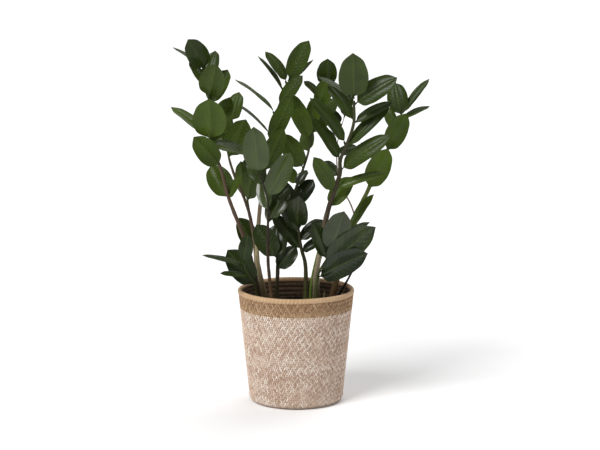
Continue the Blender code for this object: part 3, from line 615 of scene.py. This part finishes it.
def stalk_tube(name, centres, radii, colors, surface, stands_for, seed):
    """A fleshy tube through the centres, slightly uneven, with a colour along it."""
    rng = random.Random(seed)
    centres = np.asarray(centres)
    length = np.r_[0, np.cumsum(np.linalg.norm(np.diff(centres, axis=0), axis=1))]
    at = np.arange(0, length[-1], STALK_STEP)
    at = np.r_[at[:-1], length[-1]]
    line = spline(length, centres, at)
    radius = spline(length, np.asarray(radii)[:, None], at)[:, 0]
    share = at / length[-1]
    radius = radius * (1 + 0.03 * np.sin(at * 310 + rng.uniform(0, 6)) + 0.02 * np.sin(at * 733))
    along = unit(np.gradient(line, axis=0))
    side = unit(np.cross(along, [0, 1, 0.02]))
    front = np.cross(side, along)
    ring = np.linspace(0, 2 * math.pi, STALK_SIDES, endpoint=False)
    ribs = 1 + 0.025 * np.cos(5 * ring + rng.uniform(0, 6))
    vertices = (line[:, None, :] + side[:, None, :] * (radius[:, None] * np.cos(ring) * ribs)[:, :, None]
                + front[:, None, :] * (radius[:, None] * np.sin(ring) * ribs)[:, :, None])
    rows = len(line)
    faces = []
    for i in range(rows - 1):
        for j in range(STALK_SIDES):
            a = i * STALK_SIDES + j
            b = i * STALK_SIDES + (j + 1) % STALK_SIDES
            faces.append((a, b, b + STALK_SIDES, a + STALK_SIDES))
    faces.append(tuple(range(STALK_SIDES))[::-1])
    faces.append(tuple((rows - 1) * STALK_SIDES + j for j in range(STALK_SIDES)))
    color = np.stack([np.interp(share, COLOR_SHARES, [c[k] for c in colors]) for k in range(3)], axis=1)
    piece = make_piece(name, vertices.reshape(-1, 3), faces, [surface], stands_for)
    color_attribute(piece, "tint", np.repeat(color, STALK_SIDES, axis=0))
    return piece


def frond_stalk(name, number, bases, surface):
    """The bare stalk and the leafy top's midrib as one smooth piece."""
    node = "stem_" + name
    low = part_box("soil")[1].z - 0.006
    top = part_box(node)[1].z
    centres, radii = tube_sections(node, low, top - 0.0015, 0.006)
    order = np.argsort(bases[:, 2])
    knots = []
    for base in bases[order]:
        if base[2] < centres[-1][2] + 0.006:
            continue
        if knots and np.linalg.norm(base - knots[-1]) < 0.009:
            knots[-1] = (knots[-1] + base) / 2
        else:
            knots.append(base)
    knots = np.array(knots)
    tip_radius = radii[-1] * 0.5
    shares = np.linspace(1, 0, len(knots) + 1)[1:]
    upper_radii = tip_radius + (radii[-1] - tip_radius) * shares
    line = np.vstack([centres, knots])
    radius = np.r_[radii, upper_radii]
    colors = STALK_COLORS[name]
    return stalk_tube("stalk_" + name, line, radius, colors, surface, [node], number)


# ------------------------------------------------------------------ basket
def wall_rows(profile, start, stop):
    """Centre, direction across the row, and outward normal, for each braid row."""
    profile = np.array(profile)
    length = np.r_[0, np.cumsum(np.linalg.norm(np.diff(profile, axis=0), axis=1))]
    rows = []
    at = start + ROW_PITCH / 2
    while at < min(stop, length[-1]) - ROW_PITCH * 0.4:
        centre = np.array([np.interp(at, length, profile[:, k]) for k in range(2)])
        ahead = np.array([np.interp(at + 0.002, length, profile[:, k]) for k in range(2)])
        across = unit(ahead - centre)
        rows.append((centre, across, np.array([-across[1], across[0]])))
        at += ROW_PITCH
    return rows


def hoop_faces(start, steps, sides):
    """Quads of a tube that closes on itself, from the vertex numbered start."""
    i = np.arange(steps)[:, None] * sides
    j = np.arange(sides)[None, :]
    after = (i + sides) % (steps * sides)
    corners = (start + i + j, start + i + (j + 1) % sides, start + after + (j + 1) % sides, start + after + j)
    return np.stack(corners, -1).reshape(-1, 4)


def plait_rows(name, rows, surface, stands_for, seed, pale_share):
    """Three strands plaited along each row, all round the basket."""
    rng = np.random.default_rng(seed)
    sides = 8
    ring = np.linspace(0, 2 * math.pi, sides, endpoint=False)
    vertices = []
    faces = []
    attributes = {"tone": [], "along": [], "across": [], "painted_crevice_shade": []}
    start = 0
    for centre, across, out in rows:
        around = 2 * math.pi * centre[0]
        count = max(3, round(around / PLAIT_LENGTH))
        steps = count * 12
        theta = np.linspace(0, 2 * math.pi, steps, endpoint=False)
        phase = rng.uniform(0, 2 * math.pi)
        wobble = 0.00014 * np.sin(theta * 3 + rng.uniform(0, 6))
        wobble = wobble + 0.0001 * np.sin(theta * 9 + rng.uniform(0, 6))
        row_tone = rng.normal(0, 0.05)
        bulge = 0.0002 * np.sin(theta * 5 + rng.uniform(0, 6))
        for strand in range(3):
            turn = theta * count + phase + strand * 2 * math.pi / 3
            slide = PLAIT_SWING * np.arcsin(0.97 * np.sin(turn)) / math.asin(0.97) + wobble
            tuck = PLAIT_TUCK * np.clip((np.abs(slide) / PLAIT_SWING - 0.72) / 0.28, 0, 1) ** 1.5
            lift = PLAIT_DEPTH * np.sin(2 * turn) + bulge - tuck
            r = centre[0] + across[0] * slide + out[0] * lift
            z = centre[1] + across[1] * slide + out[1] * lift
            radial = np.stack([np.cos(theta), np.sin(theta), np.zeros(steps)], 1)
            line = radial * r[:, None]
            line[:, 2] = z
            along = unit(np.roll(line, -1, 0) - np.roll(line, 1, 0))
            normal = radial * out[0]
            normal[:, 2] = out[1]
            side = unit(np.cross(along, normal))
            normal = np.cross(side, along)
            uneven = 1 + 0.10 * np.sin(theta * count * 1.7 + rng.uniform(0, 6)) + rng.uniform(-0.05, 0.05)
            tube = (line[:, None] + side[:, None] * (STRAND_WIDTH * np.cos(ring))[None, :, None]
                    * uneven[:, None, None]
                    + normal[:, None] * (STRAND_DEPTH * np.sin(ring))[None, :, None])
            vertices.append(tube.reshape(-1, 3))
            faces.append(hoop_faces(start, steps, sides))
            start += steps * sides
            usual = pale_share + STRAND_TONES[strand] + row_tone
            passes = np.clip(rng.normal(usual, 0.22, 2 * count + 1), 0, 1)
            number = np.floor((turn + math.pi / 2) / math.pi).astype(int) % (2 * count)
            drift = passes[number] * 0.95 + 0.05 * np.sin(theta * rng.integers(2, 9) + rng.uniform(0, 6))
            attributes["tone"].append(np.repeat(drift, sides))
            attributes["along"].append(np.repeat(theta * centre[0] / 0.1, sides))
            attributes["across"].append(np.tile(ring / math.pi, steps))
            # painted shade mask: strongest at a strand's sides, where it meets its neighbours
            attributes["painted_crevice_shade"].append(np.tile(np.abs(np.cos(ring)), steps))
    piece = make_piece(name, np.concatenate(vertices), np.concatenate(faces).tolist(), [surface],
                       stands_for)
    for key, values in attributes.items():
        point_attribute(piece, key, np.concatenate(values))
    return piece


def lathe(name, profile, surface, stands_for=(), steps=96, closed=False):
    """A turned mesh through (radius, height) points, with its faces made to agree."""
    profile = np.array(profile, float)
    theta = np.linspace(0, 2 * math.pi, steps, endpoint=False)
    n = len(profile)
    vertices = np.stack([profile[None, :, 0] * np.cos(theta)[:, None],
                         profile[None, :, 0] * np.sin(theta)[:, None],
                         np.repeat(profile[None, :, 1], steps, 0)], -1).reshape(-1, 3)
    faces = []
    for i in range(steps):
        k = (i + 1) % steps
        for j in range(n if closed else n - 1):
            b = (j + 1) % n
            faces.append((i * n + j, i * n + b, k * n + b, k * n + j))
    piece = make_piece(name, vertices, faces, [surface], stands_for)
    shape = bmesh.new()
    shape.from_mesh(piece.data)
    bmesh.ops.remove_doubles(shape, verts=shape.verts, dist=0.00001)
    bmesh.ops.recalc_face_normals(shape, faces=shape.faces)
    shape.to_mesh(piece.data)
    shape.free()
    return piece


def build_basket():
    """Braid rows down the wall, round the bottom edge and over the underside."""
    _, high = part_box("basket_body")
    _, band_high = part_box("basket_band")
    inset = ROW_INSET
    edge = BASKET_EDGE
    top = (band_high.x - 0.0016, band_high.z)
    points, _ = welded("basket_body")
    radius = np.hypot(points[:, 0], points[:, 1])
    foot = radius[np.abs(points[:, 2] - edge) < 0.0008].max()
    rim = radius.max() + (top[1] - high.z) * (radius.max() - foot) / (high.z - edge)
    slope = unit(np.array([rim - foot, band_high.z - edge]))
    out = np.array([slope[1], -slope[0]])
    wall_line = [np.array([rim, band_high.z]) - out * inset, np.array([foot, edge]) - out * inset]
    bend = edge - inset
    corner = [(foot - edge + bend * math.cos(a), edge - bend * math.sin(a))
              for a in np.linspace(0.1, math.pi / 2, 6)]
    line = [*wall_line, *corner, (0.004, inset + 0.0002)]
    band_rows = wall_rows(line, RIM_ROW, RIM_ROW + BAND_ROWS * ROW_PITCH + 0.001)
    rest_rows = wall_rows(line, RIM_ROW + BAND_ROWS * ROW_PITCH, WHOLE_LINE)
    # the last colour darkens the fibres and is also the painted shade at the strands' sides
    natural = jute_surface("natural_jute_braid", (0.26, 0.145, 0.070), (0.45, 0.285, 0.155),
                           (0.64, 0.45, 0.27), (0.15, 0.08, 0.036))
    pale = jute_surface("pale_jute_braid", (0.46, 0.30, 0.21), (0.72, 0.56, 0.45),
                        (0.97, 0.90, 0.81), (0.26, 0.16, 0.10))
    plait_rows("basket_braid_band", band_rows, natural, ["basket_band"], 11, 0.45)
    half = len(rest_rows) // 2
    plait_rows("basket_braid_upper", rest_rows[:half], pale, ["basket_body"], 12, 0.5)
    plait_rows("basket_braid_lower", rest_rows[half:], pale, ["basket_body"], 13, 0.5)
    build_rim(rim, band_high.z, out, natural)
    core = core_surface()
    middle = [np.array(p) for p in line]
    skin = BACKING_HALF
    middle = [point - out * BACKING_INSET for point in middle]
    outer = [middle[0] + out * skin - slope * 0.004, middle[1] + out * skin,
             *[np.array(p) for p in corner], np.array([0.0, inset])]
    inner = [np.array([0.0, inset + 2 * skin]), np.array([foot - edge, inset + 2 * skin]),
             middle[1] - out * skin, middle[0] - out * skin - slope * 0.004]
    lathe("basket_backing", [*inner, *outer], core, ["basket_body"])
    build_lining(middle, out, skin)


def build_lining(middle, out, skin):
    """The shaded inner face, with one shallow ridge for each braid row."""
    top = middle[0] - out * skin
    foot = middle[1] - out * skin
    drop = np.linalg.norm(foot - top)
    ridges = []
    for at in np.arange(0.005, drop, ROW_PITCH / 6):
        swell = LINING_SWELL * abs(math.sin(math.pi * at / ROW_PITCH))
        ridges.append(lerp(top, foot, at / drop) - out * (0.0001 + swell))
    back = [ridges[-1] + out * 0.0003, ridges[0] + out * 0.0003]
    lathe("basket_lining", [*ridges, *back], lining_surface(), ["basket_body"],
          closed=True)


def build_rim(rim, top, out, surface):
    """The rolled top row: three thicker strands twisted round each other."""
    rng = np.random.default_rng(5)
    sides = 10
    ring = np.linspace(0, 2 * math.pi, sides, endpoint=False)
    centre = np.array([rim, top - RIM_ROW / 2]) - out * RIM_INSET
    steps = RIM_TURNS * 12
    theta = np.linspace(0, 2 * math.pi, steps, endpoint=False)
    vertices = []
    faces = []
    attributes = {"tone": [], "along": [], "across": [], "painted_crevice_shade": []}
    start = 0
    for strand in range(RIM_STRANDS):
        turn = theta * RIM_TURNS + strand * 2 * math.pi / RIM_STRANDS
        slide = 0.0024 * np.sin(turn)
        lift = 0.0017 * np.cos(turn)
        r = centre[0] + lift
        z = centre[1] + slide
        radial = np.stack([np.cos(theta), np.sin(theta), np.zeros(steps)], 1)
        line = radial * r[:, None]
        line[:, 2] = z + 0.0003 * np.sin(theta * 4)
        along = unit(np.roll(line, -1, 0) - np.roll(line, 1, 0))
        side = unit(np.cross(along, radial))
        normal = np.cross(side, along)
        tube = (line[:, None] + side[:, None] * (RIM_HALF_WIDTH * np.cos(ring))[None, :, None]
                + normal[:, None] * (RIM_HALF_DEPTH * np.sin(ring))[None, :, None])
        vertices.append(tube.reshape(-1, 3))
        faces.append(hoop_faces(start, steps, sides))
        start += steps * sides
        drift = rng.uniform(0.6, 0.8) + 0.12 * np.sin(theta * 6 + rng.uniform(0, 6))
        attributes["tone"].append(np.repeat(drift, sides))
        attributes["along"].append(np.repeat(theta, sides))
        attributes["across"].append(np.tile(ring / math.pi, steps))
        # painted shade mask at the rim strands' sides, weaker than on the braid rows
        attributes["painted_crevice_shade"].append(np.tile(np.abs(np.cos(ring)) * 0.55, steps))
    piece = make_piece("basket_rolled_rim", np.concatenate(vertices), np.concatenate(faces).tolist(),
                       [surface], ["basket_band"])
    for key, values in attributes.items():
        point_attribute(piece, key, np.concatenate(values))


# ------------------------------------------------------------------ pot and soil
def build_pot():
    """The nursery pot as a plain turned shell, without the CAD pot's drain holes."""
    low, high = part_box("nursery_pot")
    points, _ = welded("nursery_pot")
    radius = np.hypot(points[:, 0], points[:, 1])
    foot = radius[points[:, 2] < low.z + 0.0005].max()
    lip = radius.max()
    under = lip - POT_LIP
    wall = POT_WALL
    lip_low = high.z - POT_LIP_DEPTH
    profile = [(0.0, low.z + wall), (foot - wall, low.z + wall), (under - wall - 0.0002, high.z - 0.001),
               (under - wall + 0.0006, high.z), (lip - 0.0006, high.z), (lip, high.z - 0.0007),
               (lip, lip_low), (under - 0.001, lip_low), (foot, low.z + 0.001), (foot - 0.001, low.z),
               (0.0, low.z)]
    lathe("grower_pot", profile, plastic_surface(), ["nursery_pot"])


def build_soil():
    """Lumpy soil top, with its loose crumbs."""
    rng = np.random.default_rng(21)
    low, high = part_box("soil")
    radius = (high.x - low.x) / 2 - 0.0006
    rings = 46
    steps = 120
    vertices = [(0, 0, high.z - 0.001)]
    faces = []
    waves = [(rng.uniform(40, 420), rng.uniform(40, 420), rng.uniform(0, 6)) for _ in range(18)]
    for i in range(1, rings + 1):
        r = radius * i / rings
        for j in range(steps):
            t = 2 * math.pi * j / steps
            x, y = r * math.cos(t), r * math.sin(t)
            bump_height = sum(math.sin(a * x + c) * math.cos(b * y + c) / (3 + 0.02 * (a + b))
                              for a, b, c in waves)
            z = high.z - 0.003 + 0.0016 * bump_height - 0.001 * (i / rings) ** 2
            vertices.append((x, y, min(z, high.z + 0.002)))
    for j in range(steps):
        faces.append((0, 1 + j, 1 + (j + 1) % steps))
    for i in range(rings - 1):
        for j in range(steps):
            a = 1 + i * steps + j
            b = 1 + i * steps + (j + 1) % steps
            faces.append((a, a + steps, b + steps, b))
    last = 1 + (rings - 1) * steps
    bottom = len(vertices)
    points, _ = welded("soil")
    flat = np.hypot(points[:, 0], points[:, 1])[points[:, 2] < low.z + 0.0005].max() - 0.0004
    for j in range(steps):
        t = 2 * math.pi * j / steps
        vertices.append((flat * math.cos(t), flat * math.sin(t), low.z))
    for j in range(steps):
        k = (j + 1) % steps
        faces.append((last + j, bottom + j, bottom + k, last + k))
    faces.append(tuple(bottom + j for j in range(steps))[::-1])
    surface = soil_surface()
    make_piece("potting_soil", vertices, faces, [surface], ["soil"])
    lip = (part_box("nursery_pot")[1].x - 0.0015) / radius
    crumbs(rng, radius, lip, high.z, surface)


def crumbs(rng, radius, lip, level, surface):
    """Loose grains of soil, as one piece."""
    cube = bmesh.new()
    bmesh.ops.create_icosphere(cube, subdivisions=1, radius=1.0)
    shell = np.array([v.co for v in cube.verts])
    skin = [[v.index for v in f.verts] for f in cube.faces]
    cube.free()
    vertices = []
    faces = []
    for number in range(CRUMBS):
        spilled = number >= CRUMBS_ON_SOIL
        share = rng.uniform(0.95, lip + 0.008) if spilled else 0.985 * math.sqrt(rng.random())
        r = radius * share
        t = rng.uniform(0, 2 * math.pi)
        size = rng.uniform(0.0007, 0.0026) * rng.uniform(0.6, 1.2)
        stretch = np.array([1.0, rng.uniform(0.5, 1.0), rng.uniform(0.35, 0.8)]) * size
        turn = rng.uniform(0, 2 * math.pi)
        rotate = np.array([[math.cos(turn), -math.sin(turn), 0], [math.sin(turn), math.cos(turn), 0],
                           [0, 0, 1]])
        grain = (shell * (1 + rng.uniform(-0.3, 0.3, shell.shape)) * stretch) @ rotate.T
        lift = rng.uniform(0.0022, 0.0042) + size * 0.3 if spilled else rng.uniform(-0.0030, -0.0010)
        place = np.array([r * math.cos(t), r * math.sin(t), level + lift])
        start = len(vertices)
        vertices.extend(grain + place)
        faces.extend([tuple(start + i for i in f) for f in skin])
    make_piece("soil_crumbs", vertices, faces, [surface], ["soil"], smooth=False)


# ------------------------------------------------------------------ stage
def build_stage():
    """White floor, soft sun lamps, and a white world that is dimmer as a light than as seen."""
    floor_mesh = bpy.data.meshes.new("floor")
    floor_mesh.from_pydata([(-6, -6, 0), (6, -6, 0), (6, 6, 0), (-6, 6, 0)], [], [(0, 1, 2, 3)])
    floor = bpy.data.objects.new("floor", floor_mesh)
    bpy.context.scene.collection.objects.link(floor)
    floor.location.z = -0.0004
    surface, tree, shader = new_material("floor_white")
    shader.inputs["Base Color"].default_value = (0.93, 0.93, 0.93, 1)
    shader.inputs["Roughness"].default_value = 0.9
    shader.inputs["Specular IOR Level"].default_value = 0.1
    floor_mesh.materials.append(surface)
    world = bpy.data.worlds.new("studio")
    bpy.context.scene.world = world
    world.use_nodes = True
    tree = world.node_tree
    background = tree.nodes["Background"]
    background.inputs["Color"].default_value = (1.0, 1.0, 1.0, 1)
    seen = add_node(tree, "ShaderNodeLightPath").outputs["Is Camera Ray"]
    tree.links.new(spread(tree, seen, WORLD_LIGHT, WORLD_SEEN), background.inputs["Strength"])
    for name, place, spread_angle, power in LAMPS:
        lamp = bpy.data.lights.new(name, "SUN")
        lamp.angle = math.radians(spread_angle)
        lamp.energy = power
        item = bpy.data.objects.new(name, lamp)
        bpy.context.scene.collection.objects.link(item)
        item.location = place
        item.rotation_euler = (-Vector(place)).to_track_quat("-Z", "Y").to_euler()


# ------------------------------------------------------------------ build
def main():
    # dark to bright leaf colours; where a leaflet sits between them holds painted light and shade as well as
    # its own green
    top = leaf_surface("leaf_upper", (0.004, 0.009, 0.0015), (0.078, 0.124, 0.006), (0.11, 0.14, 0.03),
                       0.34, 0.10)
    under = leaf_surface("leaf_under", (0.005, 0.011, 0.002), (0.078, 0.126, 0.009), (0.12, 0.15, 0.03),
                         0.38, 0.12)
    stalk = stalk_surface("stalk_skin")
    names = sorted(n[len("leaves_"):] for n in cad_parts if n.startswith("leaves_"))
    for number, name in enumerate(names):
        _, bases = frond_leaves(name, number, [top, under])
        frond_stalk(name, number, bases, stalk)
    shoot_colors = {
        "young_shoot_green": ((0.08, 0.09, 0.03), (0.09, 0.13, 0.02), (0.10, 0.16, 0.025),
                              (0.12, 0.17, 0.04)),
        "young_shoot_pale": ((0.20, 0.17, 0.10), (0.24, 0.22, 0.13), (0.22, 0.22, 0.12),
                             (0.16, 0.17, 0.08))}
    for number, (name, colors) in enumerate(shoot_colors.items()):
        low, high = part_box("soil")[1].z - 0.006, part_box(name)[1].z
        centres, radii = tube_sections(name, low, high - 0.001, 0.005)
        centres = np.vstack([centres, centres[-1] * 2 - centres[-2]])
        stalk_tube(name.replace("young_", "new_"), centres, np.r_[radii, radii[-1] * 0.3], colors, stalk,
                   [name], 50 + number)
    skin = rhizome_surface()
    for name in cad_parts:
        if name.startswith("rhizome"):
            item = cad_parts[name]
            item.data.materials.clear()
            item.data.materials.append(skin)
    build_basket()
    build_pot()
    build_soil()
    build_stage()


main()
